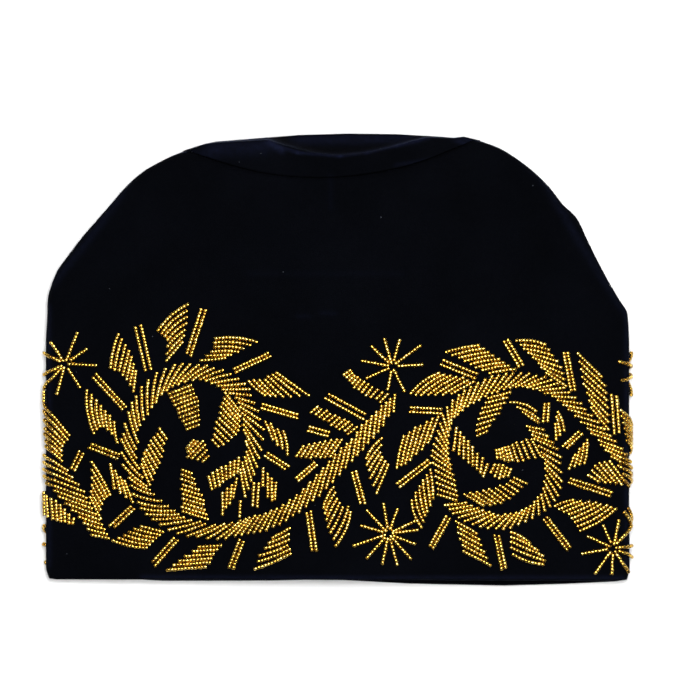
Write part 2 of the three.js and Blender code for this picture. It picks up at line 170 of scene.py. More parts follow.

# Chart of the paved bands. A row is a strand: chart x and y of its ends, and how far it bows
# to the left. The counts are the steps from each charted strand to the next.
STEMS = {
    "scroll_left_upper": ((1, 1, 1, 1, 3, 3, 3, 3, 3, 3, 3, 3, 2, 3), (
        (-96.4, 51.8, -105.5, 66.8, 0.6), (-97.5, 56.7, -104.5, 69.4, 0.5),
        (-97.7, 60.8, -103.8, 74.3, 0.5), (-97, 64.6, -101.8, 79.7, 0.5),
        (-97.3, 70.4, -100.2, 84.8, 0.5), (-92.3, 77.9, -92.1, 95.6, 0.5),
        (-86, 87.1, -79, 103.1, 0.5), (-78.1, 92.5, -67.4, 102.7, 0.5),
        (-67.9, 94.8, -56, 99.8, 0.5), (-59.4, 92.1, -45, 93.3, 0), (-50.6, 86.7, -40.4, 84, 0),
        (-47.1, 79.4, -36, 71, 0), (-46, 71, -38.1, 56.6, 0), (-45, 61.3, -40.6, 48.9, 0),
        (-47.9, 52.6, -45.2, 38.2, 0),
    )),
    "scroll_left_lower": ((1, 1, 3, 3, 3, 2, 2, 2), (
        (-94.8, 47.6, -105.4, 60.4, 0.8), (-92.9, 43.6, -104.5, 54.3, 0.8),
        (-91.3, 41.8, -102.1, 48.2, 0.8), (-82.1, 33.9, -98.7, 36.2, 0.8),
        (-74.6, 28.7, -91, 27.6, 0.3), (-63.7, 26, -78.8, 20.8, 0.3),
        (-55.2, 25.7, -69.2, 19.1, 0.3), (-46.9, 27.8, -59.4, 17.8, 0.3),
        (-42.9, 29.1, -51, 19, 0.3),
    )),
    "stem_middle": ((4, 4, 4, 4, 3, 3, 3), (
        (-47.4, 19.7, -40.5, 29.6, 0), (-35.4, 22.1, -29.6, 33.6, 0), (-22.6, 28.6, -16.8, 43, 0),
        (-9.8, 38.5, -4.6, 56.2, 0), (3, 52, 6.3, 67.7, 0), (11.3, 61, 13.4, 76.1, 0),
        (18.8, 69.4, 20.5, 82.6, 0), (26.2, 79.5, 27, 88.7, 0),
    )),
    "stem_edge_upper": ((3, 3), (
        (-144, 84, -130.2, 67.5, 0), (-143, 72, -133.8, 62.5, 0), (-142, 63, -133.8, 55.1, 0),
    )),
    "stem_edge_lower": ((3, 3, 3, 3), (
        (-144.2, 59, -131.7, 51.2, 0), (-143.3, 48.2, -123.3, 40.8, 0),
        (-136.5, 38.7, -119.4, 32.6, 0), (-126.9, 28.9, -114.2, 24.9, 0),
        (-120, 20.1, -111, 18.3, 0),
    )),
    "scroll_right_outer": ((3, 3, 3, 3, 3, 4, 4, 4, 4, 4, 4, 2, 2, 2), (
        (57.8, 36.7, 46.8, 39.9, 0), (56.9, 43.7, 46.1, 48.8, 0), (55.1, 51.3, 44.1, 58.7, 0),
        (52.9, 58.9, 46.6, 67.1, 0), (53.1, 67.3, 49.9, 78.8, 0), (55.5, 76.1, 58, 88.7, 0),
        (64.5, 83.3, 70.8, 95.8, 0), (76.3, 89.1, 84.6, 98.8, 0), (88, 91.6, 100.1, 96.7, 0),
        (99.2, 88.7, 112.5, 89.1, 0), (110.4, 80.8, 123.5, 77.4, 0), (122.3, 69.1, 135.1, 65.1, 0),
        (126.5, 63.9, 139.7, 58.6, 0), (131.8, 58.1, 143, 52, 0), (137.6, 49.4, 146, 44.4, 0),
    )),
    "scroll_right_inner": ((3, 3, 3, 3, 3, 3, 2, 2, 2, 3), (
        (50.4, 34.5, 62.3, 35.8, 0), (57.1, 28.4, 70.8, 32.2, 0), (67.7, 23.7, 77.8, 30.2, 0),
        (78.8, 22.1, 86.2, 31.6, 0), (90, 25.9, 92.9, 35.1, 0), (99.7, 31.1, 97.4, 40.5, 0),
        (106.6, 38.1, 99.7, 49.1, 0), (108.2, 45.5, 99.2, 55.1, 0), (108, 54, 97.4, 60.3, 0),
        (106.4, 61.2, 94.1, 66.7, 0), (99.2, 70.9, 90, 72.9, 0),
    )),
}

# Leaves and petals: the number of strands, then the first, sometimes a middle, and the last strand
LEAVES = (
    (7, (
        (-110.6, 100.2, -106.7, 117.7, 0.8), (-104.7, 97.1, -101.5, 109.8, 0),
        (-99.6, 89.2, -98.2, 100.2, 0),
    )),
    (7, (
        (-118.5, 68.5, -122.2, 90.6, 1.6), (-113.9, 72.2, -115.2, 83.3, 0.6),
        (-107.3, 64.6, -108.9, 75.6, 0.4),
    )),
    (6, (
        (-120.1, 55.8, -110.8, 39, 0.5), (-120.2, 46.5, -114, 35.6, 0),
        (-120.7, 38.3, -115.1, 27.4, 0),
    )),
    (4, ((-110.6, 54.3, -108.7, 42.2, 0), (-104, 46.6, -99.7, 35.3, 0))),
    (6, ((-110.2, 17.6, -92.7, 13.9, -0.9), (-96.7, 24.5, -84.6, 21.6, 0))),
    (8, (
        (-143.8, 41, -143, 29, 0), (-136.3, 35.8, -135.6, 26, 0), (-128.5, 28.5, -129.2, 24.7, 0),
    )),
    (7, (
        (-44.2, 95.3, -35, 87.4, -0.6), (-36.5, 96.2, -26.7, 86.5, 0),
        (-31.4, 99.6, -13.9, 87.2, 0),
    )),
    (6, (
        (-60.6, 115.2, -39.2, 113.3, 1.3), (-61.4, 109.8, -47, 109.3, 0.7),
        (-66.7, 104.6, -54, 106, -0.3),
    )),
    (7, (
        (-87.9, 118.3, -72.5, 132, 1.4), (-83.5, 113.8, -73.2, 122.7, 0.9),
        (-83.5, 104.2, -75.2, 113.8, 0),
    )),
    (4, ((-35.7, 75.8, -31.8, 65.7, 0), (-27.1, 70.4, -24.9, 58.5, 0.8))),
    (8, ((-21.1, 57.4, -17, 63.4, 0), (-12.8, 57, -7.5, 66, 0), (-4.5, 57.8, 1.6, 66.8, 0))),
    (7, ((34.2, 88, 48.1, 98.3, 1.4), (42.5, 87.5, 57.3, 97, 0.6), (53.5, 88, 66.1, 94.9, 0))),
    (8, ((51.3, 108.6, 67.7, 112, 0.4), (71.5, 98.1, 85.5, 100.3, 0.4))),
    (7, ((27.8, 52.2, 31.5, 68.9, 0.4), (34.2, 56, 39.6, 74.1, 0), (43, 64.6, 48.1, 77.9, 0))),
    (6, ((12.8, 56.5, 21, 67.3, 1), (14.3, 49, 20.7, 59.5, 0), (17.9, 39.9, 24, 54.4, 0))),
    (7, ((-7.6, 32.7, -2.2, 44.1, 0.8), (-5.6, 23.7, 0.5, 36, 0), (-2, 14.5, 5.9, 32.2, -1.5))),
    (6, (
        (-32.7, 18.5, -23.2, 23.8, 0), (-37.5, 12.2, -24.2, 16.8, -0.6),
        (-41.5, 3.7, -23.3, 11.4, -0.6),
    )),
    (6, ((-68.8, 14.3, -56.9, 15.1, 0), (-83.8, 3.2, -63.7, 4.7, 0))),
    (8, ((84.6, 114.2, 100.4, 112, 1), (92.2, 107.2, 106.8, 102.6, 0), (99.5, 99, 110.4, 92, 0))),
    (8, ((115.2, 108.2, 128.2, 95.8, 0), (118.1, 95, 130.6, 83, 0), (121.9, 81.9, 131.1, 70.5, 0))),
    (6, ((136.3, 80.8, 146, 70, 0), (138.7, 66.2, 147, 58, 0))),
    (4, ((111.1, 51.5, 114.7, 59.8, 0), (118.8, 54.2, 120.3, 66.7, -0.6))),
    (3, ((105.5, 80.4, 109.1, 69.8, 0.8), (104.6, 74.3, 105.1, 65.3, 0))),
    (6, (
        (120.3, 49.3, 126.6, 45.2, 0), (124.5, 54.9, 133.3, 44.8, 0), (131.1, 56, 140.3, 43.2, 0),
    )),
    (8, (
        (103.3, 33.3, 114, 36.8, 0.7), (111, 28.6, 126.5, 35.7, -0.4),
        (116.3, 21.7, 134.5, 32.8, -1.2),
    )),
    (5, ((83.1, 21.2, 92.9, 15.1, 0.9), (82.4, 17, 99.2, 9.6, 0), (84.2, 10.7, 100.1, 5.5, -1))),
    (6, ((55.8, 27.1, 67, 20.6, 0), (59.8, 12.5, 73.5, 5.3, 0))),
    (6, (
        (35, 37.8, 40.5, 22.8, -1.4), (39.7, 45.7, 42.3, 29.5, -0.6),
        (43.9, 52.6, 45.4, 37.4, 0.4),
    )),
    (2, ((139.6, 33.2, 145, 25, 0), (138, 31.3, 141.3, 25.9, 0))),
)
PETALS = {
    "petal_left_1": (10, (
        (-82.5, 88.3, -71, 92.7, 0), (-78.5, 79.8, -67.8, 84, 0), (-74.2, 71, -67.3, 73.5, 0),
    )),
    "petal_left_2": (10, (
        (-55.4, 89.4, -47.5, 79.6, 0), (-58.3, 78.8, -48.5, 69.2, 0),
        (-61.6, 66.9, -57.7, 62.3, 0),
    )),
    "petal_left_3": (6, (
        (-74, 61.6, -70, 66.3, 0), (-72.5, 57, -64.8, 65, 0), (-65.6, 55.7, -62.5, 58.9, 0),
    )),
    "petal_left_4": (9, (
        (-87.1, 72.1, -83.1, 66.3, 0), (-92.5, 64.1, -86.7, 54.9, 0), (-96, 55.3, -91.2, 43.5, 0),
    )),
    "petal_left_5": (10, (
        (-76.5, 52, -70.4, 49.7, 0), (-76.5, 41.3, -65.5, 38, 0), (-76, 31.6, -62.7, 27.6, 0),
    )),
    "petal_left_6": (8, ((-61.2, 41.6, -63.1, 49.1, 0), (-49, 50, -48.3, 58.3, 0))),
    "petal_left_7": (4, ((-56.3, 30, -56.3, 40.8, 0), (-51.2, 37.6, -49.2, 47.8, 0))),
    "petal_left_8": (4, (
        (-36.8, 43.2, -36.5, 52.6, 0), (-33.3, 36.5, -33.5, 49.5, 0),
        (-30.9, 36.8, -30.5, 46.1, 0),
    )),
    "petal_middle_1": (10, ((-13.9, 79.1, -10.1, 82.5, 0), (4.1, 68.8, 9, 72.9, 0))),
    "petal_middle_2": (11, (
        (1.4, 97.3, 5.4, 99.8, 0), (8.8, 89.9, 12.4, 94.6, 0), (19.4, 83.9, 23.5, 88.4, 0),
    )),
    "petal_right_1": (8, (
        (72.1, 86.4, 83.3, 89.3, 0), (66.5, 77.3, 78.2, 80.3, 0), (66.1, 67.8, 72.1, 70.7, 0),
    )),
    "petal_right_2": (8, (
        (55.3, 60.8, 56.7, 72.3, 0), (63.5, 53.5, 63.3, 64.5, 0), (69.9, 48.6, 71.9, 55.1, 0),
    )),
    "petal_right_3": (5, (
        (73, 50, 75.5, 54.9, 0), (77.2, 46.6, 79.3, 54.4, 0), (81.3, 47.9, 83.1, 52, 0),
    )),
    "petal_right_4": (10, (
        (76.6, 56.5, 75.9, 61.2, 0), (85.3, 55.2, 82.5, 64, 0), (97.9, 57.4, 92.7, 67.1, 0),
    )),
    "petal_right_5": (10, (
        (60, 40.1, 70.6, 34, 0), (73.5, 43, 82, 36.6, 0), (84.9, 47.7, 90.9, 44.8, 0),
    )),
    "petal_right_6": (3, (
        (82, 84.1, 95.9, 79.6, 1.6), (85.5, 82.1, 96.8, 75.9, 0.8), (88.2, 79.7, 97, 74.1, 0),
    )),
}

# Bars of two strands: x and y of both ends of the middle line, and the distance between the strands
BARS = (
    (-118.7, 97.5, -103.75, 81.25, 2.1), (-97.25, 121.6, -92.1, 99.7, 2.8),
    (-121, 63.3, -106.4, 57.9, 2.2), (-124.65, 60.4, -129.35, 50.9, 2.2),
    (-99.55, 33.6, -110.4, 23.6, 2.2), (-39.9, 45.2, -40.65, 33.1, 2.2),
    (-50.95, 99.4, -33.35, 107.5, 1.9), (-65.35, 129.4, -72.7, 106.65, 2.3),
    (-37.6, 82.6, -20.15, 77.7, 2.1), (-35.4, 59.5, -25, 52.8, 2.1), (-20.4, 46.8, -11, 54.8, 2),
    (-6, 87.4, 12.6, 77.2, 2.6), (-15.3, 71.7, -4.3, 68.8, 2.2), (49.05, 103.9, 67.2, 96.55, 2.5),
    (34, 80.8, 50, 80, 2.2), (7, 51.3, 11.7, 34.6, 2.2), (-14.6, 31.8, -11.8, 12, 2.1),
    (-46.85, 17.9, -52.6, 3.3, 2.2), (-78.55, 18.5, -90.1, 5.7, 2.2),
    (80.5, 114.4, 88.3, 101.3, 2.1), (109.55, 109, 113.4, 89.4, 2.1),
    (133.3, 87.7, 134.8, 68.8, 2.5), (117.4, 70, 108.9, 62.2, 2.1), (100.5, 84, 99.8, 74.2, 2.1),
    (111.2, 46.4, 132.1, 39.6, 2.2), (99.7, 28.3, 111.7, 12.6, 2.1), (76.2, 20.1, 79.8, 3.2, 2),
    (53, 29.3, 44.2, 13.8, 2.1), (43.9, 56.1, 28.4, 44, 2.1),
)
SINGLE_STRANDS = ((-47.5, 36.8, -48.1, 28.5, 0), (-143.9, 90, -143.9, 84, 0))

# Stars: the centre, then the tip of each ray
STARS = {
    "star_left": ((-132.9, 102.9), (
        (-126.6, 118.7), (-121.5, 110.6), (-116.7, 102.2), (-125.3, 91.2), (-136.7, 88.1),
        (-143.8, 90.7), (-143.5, 97.5), (-143.5, 108.3), (-139.8, 113.7),
    )),
    "star_upper": ((25.7, 101.7), (
        (10.7, 104.4), (15.6, 111.3), (21.8, 115.4), (29.3, 114.9), (39.6, 112), (40.7, 102.6),
        (31.4, 89.8), (23.5, 89.6), (12.5, 95.6),
    )),
    "star_lower": ((23.9, 20.8), (
        (13.1, 32.4), (21.4, 35.6), (28.6, 33.6), (36.9, 27.1), (38.5, 22.8), (36.7, 15.8),
        (34.9, 8.4), (28.2, 5.3), (20.8, 5.8), (13.1, 8.7), (7, 15), (10.4, 24.8),
    )),
    "star_right": ((132.9, 13.2), (
        (135.8, 27.1), (128, 24.8), (119.9, 19.4), (117.2, 10.5), (124.1, 1.3), (132.3, 0.8),
        (140.3, 1.9), (143, 8.9), (143, 14.3), (142.5, 24.4),
    )),
    "star_right_fold": ((151, 99.5), (
        (135.4, 104.1), (137.1, 94.7), (142.2, 108.5), (142.6, 88), (151, 86), (160, 90),
        (163, 99), (161, 109), (152, 113),
    )),
    "star_left_fold": ((-158, 14), (
        (-143.3, 24.3), (-143.1, 15.3), (-146.5, 6), (-156, 1.5), (-167, 4), (-171, 14),
        (-166, 25), (-155, 28),
    )),
}

# Pieces that reach a fold, which the back does not repeat
FRONT_ONLY_STEMS = ("stem_edge_upper", "stem_edge_lower")
FRONT_ONLY_LEAVES = (6, 21, 29)
FRONT_ONLY_STARS = ("star_left", "star_right", "star_right_fold", "star_left_fold")
BACK_STEM_STRANDS = {"scroll_right_outer": 11}


def smooth_step(low, high, value):
    share = np.clip((value - low) / (high - low), 0, 1)
    return share * share * (3 - 2 * share)


def curve_slopes(at, values):
    """Slopes of a curve through the rows that never overshoots them."""
    steps = np.diff(at)[:, None]
    rates = np.diff(values, axis=0) / steps
    slopes = np.zeros_like(values)
    same_way = rates[:-1] * rates[1:] > 0
    safe = np.where(same_way, rates[:-1] + rates[1:], 1)
    slopes[1:-1] = np.where(same_way, 2 * rates[:-1] * rates[1:] / np.where(safe == 0, 1, safe), 0)
    slopes[0] = rates[0]
    slopes[-1] = rates[-1]
    return slopes


LEVELS = SECTIONS[:, SECTION_COLUMNS.index("front_y")]
SLOPES = curve_slopes(LEVELS, SECTIONS)
RIM = dict(zip(SECTION_COLUMNS, SECTIONS[0]))
RIM_FOLD_Y = (RIM["left_y"] + RIM["right_y"]) / 2
RIM_SAG = RIM["back_y"] - RIM_FOLD_Y


def section_at(y):
    """The section's columns at each front height y."""
    y = np.asarray(y, float)
    i = np.clip(np.searchsorted(LEVELS, y, side="right") - 1, 0, len(LEVELS) - 2)
    span = LEVELS[i + 1] - LEVELS[i]
    t = (y - LEVELS[i]) / span
    inside = np.clip(t, 0, 1)
    past = (t - inside) * span
    a, b = SECTIONS[i], SECTIONS[i + 1]
    s, e = SLOPES[i] * span[..., None], SLOPES[i + 1] * span[..., None]
    u = inside[..., None]
    values = a + u * s + u * u * (3 * (b - a) - 2 * s - e) + u ** 3 * (2 * (a - b) + s + e)
    edge = np.where((t > 1)[..., None], SLOPES[i + 1], SLOPES[i])
    values = values + past[..., None] * edge
    return {name: values[..., k] for k, name in enumerate(SECTION_COLUMNS)}


def base_cloth(c, y):
    """Places on the cloth without its soft folds. c is x on the front and goes on round the sides."""
    section = section_at(y)
    low = section["left_x"] + FOLD_RADIUS
    high = section["right_x"] - FOLD_RADIUS
    half_turn = math.pi * FOLD_RADIUS
    past = np.maximum(low - c, c - high)
    edge = np.where(c < low, low, high)
    outward = np.where(c < low, -1.0, 1.0)
    turn = np.clip(past, 0, half_turn) / FOLD_RADIUS
    on_back = past > half_turn
    x = np.where(past <= 0, c, edge + outward * FOLD_RADIUS * np.sin(turn))
    x = np.where(on_back, edge - outward * (past - half_turn), x)
    across = np.clip((x - (low + high) / 2) / ((high - low) / 2), -1, 1)
    bulge = 1 - across * across
    puff = np.where(past <= 0, section["rise"] * bulge ** PUFF_POWER, 0)
    z = section["lift"] + FOLD_RADIUS * (1 + np.cos(turn)) + puff
    middle_y = np.where(on_back, section["back_y"], section["front_y"])
    fold_y = section["left_y"] + (section["right_y"] - section["left_y"]) * (across + 1) / 2
    sag = middle_y - (section["left_y"] + section["right_y"]) / 2
    place_y = fold_y + sag * bulge
    rim_y = np.interp(x, BACK_RIM[:, 0], BACK_RIM[:, 1])
    near_rim = np.where(on_back, 1 - smooth_step(LEVELS[0], RIM_REACH, np.asarray(y, float)), 0)
    plain_rim_y = RIM_FOLD_Y + RIM_SAG * bulge
    place_y = place_y + near_rim * (rim_y + RIM_LIP - plain_rim_y)
    return np.stack(np.broadcast_arrays(x, place_y, z), axis=-1)


def normals_of(surface, c, y, step=0.2):
    along = surface(c + step, y) - surface(c - step, y)
    up = surface(c, y + step) - surface(c, y - step)
    normal = np.cross(along, up)
    return normal / np.linalg.norm(normal, axis=-1, keepdims=True)


def strokes(table, x, y):
    """The sum of soft strokes at each place."""
    total = np.zeros(np.broadcast(x, y).shape)
    for ax, ay, bx, by, width, strength in table:
        length = math.hypot(bx - ax, by - ay)
        ux, uy = (bx - ax) / length, (by - ay) / length
        along = (x - ax) * ux + (y - ay) * uy
        past = np.maximum(np.maximum(-along, along - length), 0)
        aside = (x - ax) * -uy + (y - ay) * ux
        total = total + strength * np.exp(-(aside / width) ** 2 - (past / (1.5 * width)) ** 2)
    return total


def past_fold(c, y):
    """How far a place lies past the start of the nearer side fold, below zero on the front."""
    section = section_at(y)
    return np.maximum(section["left_x"] - c, c - section["right_x"]) + FOLD_RADIUS


def fold_height(c, y):
    """How far the soft folds and the slight unevenness of the cloth raise the front."""
    height = strokes(FOLDS, c, y)
    ripple = np.sin(c * 0.047 + 1.3) * np.sin(y * 0.061 + 0.4) + 0.6 * np.sin(c * 0.11 - y * 0.09)
    uneven = ripple * (RIPPLE_PLAIN + RIPPLE_ABOVE * smooth_step(*RIPPLE_RISE, y))
    return (height + uneven) * (1 - smooth_step(-FOLD_FADE, 0, past_fold(c, y)))


def cloth(c, y):
    """Places on the outside of the cloth, folds included."""
    return base_cloth(c, y) + fold_height(c, y)[..., None] * normals_of(base_cloth, c, y)


def ring_stations(y, front_steps, fold_steps):
    """Distances along the cloth of the points of each ring: front, right fold, back and left fold."""
    section = section_at(y)
    low = (section["left_x"] + FOLD_RADIUS)[:, None]
    high = (section["right_x"] - FOLD_RADIUS)[:, None]
    half_turn = math.pi * FOLD_RADIUS
    share = np.linspace(0, 1, front_steps + 1)
    arc = half_turn * np.arange(1, fold_steps) / fold_steps
    front = low + (high - low) * share
    back = high + half_turn + (front - low)
    return np.concatenate([front, high + arc, back, low - half_turn + arc], axis=1)


def grid_quads(rows, columns):
    """Faces of rings that are joined one to the next."""
    i, j = np.meshgrid(np.arange(rows - 1), np.arange(columns), indexing="ij")
    a = i * columns + j
    b = i * columns + (j + 1) % columns
    return np.stack([a, b, b + columns, a + columns], axis=-1).reshape(-1, 4)


WALL_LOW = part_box("side_wall")[0]
SHIFT = np.array([WALL_LOW[0] / MM - CHART_LOW[0], WALL_LOW[1] / MM - CHART_LOW[1], 0.0])


def add_mesh(name, points, faces, material):
    """A smooth mesh in the frame, from places in chart millimetres."""
    mesh = bpy.data.meshes.new(name)
    mesh.from_pydata(((points + SHIFT) * MM).tolist(), [], faces.tolist())
    mesh.polygons.foreach_set("use_smooth", np.ones(len(faces), bool))
    mesh.materials.append(material)
    mesh.update()
    piece = bpy.data.objects.new(name, mesh)
    bpy.context.collection.objects.link(piece)
    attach(piece, "root")
    return piece


def set_attribute(piece, name, values):
    attribute = piece.data.attributes.new(name, "FLOAT", "POINT")
    attribute.data.foreach_set("value", np.asarray(values, np.float32).ravel())


def node_maker(material):
    tree = material.node_tree

    def make(kind, inputs=None, **settings):
        node = tree.nodes.new(kind)
        for key, value in settings.items():
            setattr(node, key, value)
        for key, value in (inputs or {}).items():
            if isinstance(value, bpy.types.NodeSocket):
                tree.links.new(value, node.inputs[key])
            else:
                node.inputs[key].default_value = value
        return node

    return make


def new_material(name):
    material = bpy.data.materials.new(name)
    material.use_nodes = True
    return material, material.node_tree.nodes["Principled BSDF"], node_maker(material)


def ramp(make, factor, *stops):
    node = make("ShaderNodeValToRGB", {"Fac": factor})
    elements = node.color_ramp.elements
    while len(elements) < len(stops):
        elements.new(0.5)
    for element, (place, colour) in zip(elements, stops):
        element.position = place
        element.color = (*colour, 1)
    return node.outputs["Color"]


def velvet_material():
    material, shader, make = new_material("velvet")
    link = material.node_tree.links.new
    place = make("ShaderNodeTexCoord").outputs["Object"]
    crush = make("ShaderNodeTexNoise", {"Vector": place, "Scale": 28, "Detail": 4, "Roughness": 0.55})
    pile = make("ShaderNodeTexNoise", {"Vector": place, "Scale": 2600, "Detail": 2, "Roughness": 0.6})
    nap_and_painted_sheen = make("ShaderNodeTexNoise", {"Vector": place, "Scale": 420, "Detail": 3, "Roughness": 0.6})
    shade = make("ShaderNodeMath", {0: crush.outputs["Fac"], 1: pile.outputs["Fac"]}, operation="MULTIPLY")
    colour = ramp(make, shade.outputs["Value"], (0.12, (0.0004, 0.0006, 0.0012)),
                  (0.45, (0.0012, 0.0015, 0.0028)))
    cells = make("ShaderNodeTexVoronoi", {"Vector": place, "Scale": 190, "Randomness": 1.0})
    near = make("ShaderNodeMath", {0: cells.outputs["Distance"], 1: 0.055}, operation="LESS_THAN")
    pick = make("ShaderNodeSeparateColor", {"Color": cells.outputs["Color"]})
    rare = make("ShaderNodeMath", {0: pick.outputs["Red"], 1: 0.9}, operation="GREATER_THAN")
    lint = make("ShaderNodeMath", {0: near.outputs["Value"], 1: rare.outputs["Value"]}, operation="MULTIPLY")
    mix = make("ShaderNodeMix", {"Factor": lint.outputs["Value"], "A": colour,
                                 "B": (0.03, 0.034, 0.042, 1)}, data_type="RGBA")
    # Painted sheen: the strokes' attribute, in patches from a noise, mixes the base colour towards a lighter
    # blue
    painted_sheen_mask = make("ShaderNodeAttribute", attribute_name="nap_and_painted_sheen").outputs["Fac"]
    patchy = make("ShaderNodeMapRange", {"Value": nap_and_painted_sheen.outputs["Fac"], "From Min": 0.3, "From Max": 0.7,
                                         "To Min": 0.5, "To Max": 1.2})
    share = make("ShaderNodeMath", {0: painted_sheen_mask, 1: patchy.outputs["Result"]}, operation="MULTIPLY",
                 use_clamp=True)
    # The painted sheen colour, lighter and bluer than the velvet
    sheen = make("ShaderNodeMix", {"Factor": share.outputs["Value"], "A": mix.outputs["Result"],
                                   "B": (0.0052, 0.0068, 0.0185, 1)}, data_type="RGBA")
    link(sheen.outputs["Result"], shader.inputs["Base Color"])
    rough = make("ShaderNodeMapRange", {"Value": nap_and_painted_sheen.outputs["Fac"], "To Min": 0.82, "To Max": 1.0})
    link(rough.outputs["Result"], shader.inputs["Roughness"])
    height = make("ShaderNodeMath", {0: nap_and_painted_sheen.outputs["Fac"], 1: pile.outputs["Fac"]}, operation="ADD")
    bump = make("ShaderNodeBump", {"Height": height.outputs["Value"], "Strength": 0.45, "Distance": 0.0003})
    link(bump.outputs["Normal"], shader.inputs["Normal"])
    shader.inputs["Specular IOR Level"].default_value = 0.025
    shader.inputs["Sheen Weight"].default_value = 0.05
    shader.inputs["Sheen Roughness"].default_value = 0.2
    shader.inputs["Sheen Tint"].default_value = (0.36, 0.5, 1.0, 1)
    return material


def bead_material():
    material, shader, make = new_material("gold_beads")
    link = material.node_tree.links.new
    tone = make("ShaderNodeAttribute", attribute_name="bead_tone").outputs["Fac"]
    place = make("ShaderNodeTexCoord").outputs["Object"]
    grain = make("ShaderNodeTexNoise", {"Vector": place, "Scale": 1500, "Detail": 2})
    colour = ramp(make, tone, (0.0, (0.29, 0.13, 0.006)), (0.35, (0.46, 0.26, 0.02)),
                  (0.75, (0.60, 0.38, 0.05)), (1.0, (0.76, 0.55, 0.13)))
    link(colour, shader.inputs["Base Color"])
    rough = make("ShaderNodeMapRange", {"Value": grain.outputs["Fac"], "To Min": 0.13, "To Max": 0.26})
    link(rough.outputs["Result"], shader.inputs["Roughness"])
    shader.inputs["Metallic"].default_value = 1.0
    shader.inputs["Coat Weight"].default_value = 0.45
    shader.inputs["Coat Roughness"].default_value = 0.1
    shader.inputs["Coat IOR"].default_value = 1.6
    return material


def floor_material():
    material, shader, make = new_material("pale_floor")
    place = make("ShaderNodeTexCoord").outputs["Object"]
    cloud = make("ShaderNodeTexNoise", {"Vector": place, "Scale": 2, "Detail": 2})
    colour = ramp(make, cloud.outputs["Fac"], (0.3, (0.90, 0.90, 0.90)), (0.7, (0.92, 0.92, 0.92)))
    material.node_tree.links.new(colour, shader.inputs["Base Color"])
    shader.inputs["Roughness"].default_value = 0.9
    shader.inputs["Specular IOR Level"].default_value = 0.1
    return material


VELVET = velvet_material()
GOLD = bead_material()

WALL_LEVELS = 125
WALL_EDGE_LEVELS = 8
WALL_FRONT_STEPS = 170
WALL_FOLD_STEPS = 10


def side_wall():
    rim_levels = np.linspace(LEVELS[0], 6, WALL_EDGE_LEVELS)
    seam_levels = np.linspace(LEVELS[-1] - 3, LEVELS[-1], WALL_EDGE_LEVELS)
    middle_levels = np.linspace(7.5, LEVELS[-1] - 4.5, WALL_LEVELS)
    levels = np.concatenate([rim_levels, middle_levels, seam_levels])
    stations = ring_stations(levels, WALL_FRONT_STEPS, WALL_FOLD_STEPS)
    heights = levels[:, None] + 0 * stations
    outer = cloth(stations, heights)
    normal = normals_of(cloth, stations, heights)
    past = past_fold(stations, heights)
    near_seam = smooth_step(LEVELS[-1] - SEAM_ROLL_DEPTH, LEVELS[-1], heights)
    roll = SEAM_ROLL * (1 - smooth_step(-SEAM_ROLL_FADE, 0, past)) * near_seam ** 2
    outer = outer - normal * roll[..., None]
    hem = HEM_EXTRA * (1 - smooth_step(HEM_DEPTH, HEM_DEPTH + 1.2, heights))
    inner = outer - normal * (WALL + hem)[..., None]
    middle = (outer[0] + inner[0]) / 2
    thick = np.linalg.norm(outer[0] - inner[0], axis=-1, keepdims=True) / 2
    turns = np.radians([45, 90, 135])[:, None, None]
    down = np.array([0.0, -1.0, 0.0])
    lip = middle + thick * (np.cos(turns) * normal[0] + np.sin(turns) * down)
    rings = np.concatenate([outer[::-1], lip, inner[::2], inner[-1:]])
    columns = outer.shape[1]
    faces = grid_quads(len(rings), columns)
    last = (len(rings) - 1) * columns
    j = np.arange(columns)
    seam = np.stack([last + j, last + (j + 1) % columns, (j + 1) % columns, j], axis=-1)
    piece = add_mesh("velvet_side_wall", rings.reshape(-1, 3), np.concatenate([faces, seam]), VELVET)
    # Painted sheen on the wall's outside, from the strokes, fading out past the side folds
    nap_and_painted_sheen = np.zeros(rings.shape[:2])
    painted_sheen_mask = strokes(PAINTED_SHEEN_STROKES, stations, heights) * (1 - smooth_step(*PAINTED_SHEEN_FADE, past))
    nap_and_painted_sheen[:len(outer)] = painted_sheen_mask[::-1]
    set_attribute(piece, "nap_and_painted_sheen", nap_and_painted_sheen)
    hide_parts("side_wall")
    return piece


CROWN_CLIMB = 14
CROWN_FALL = 16


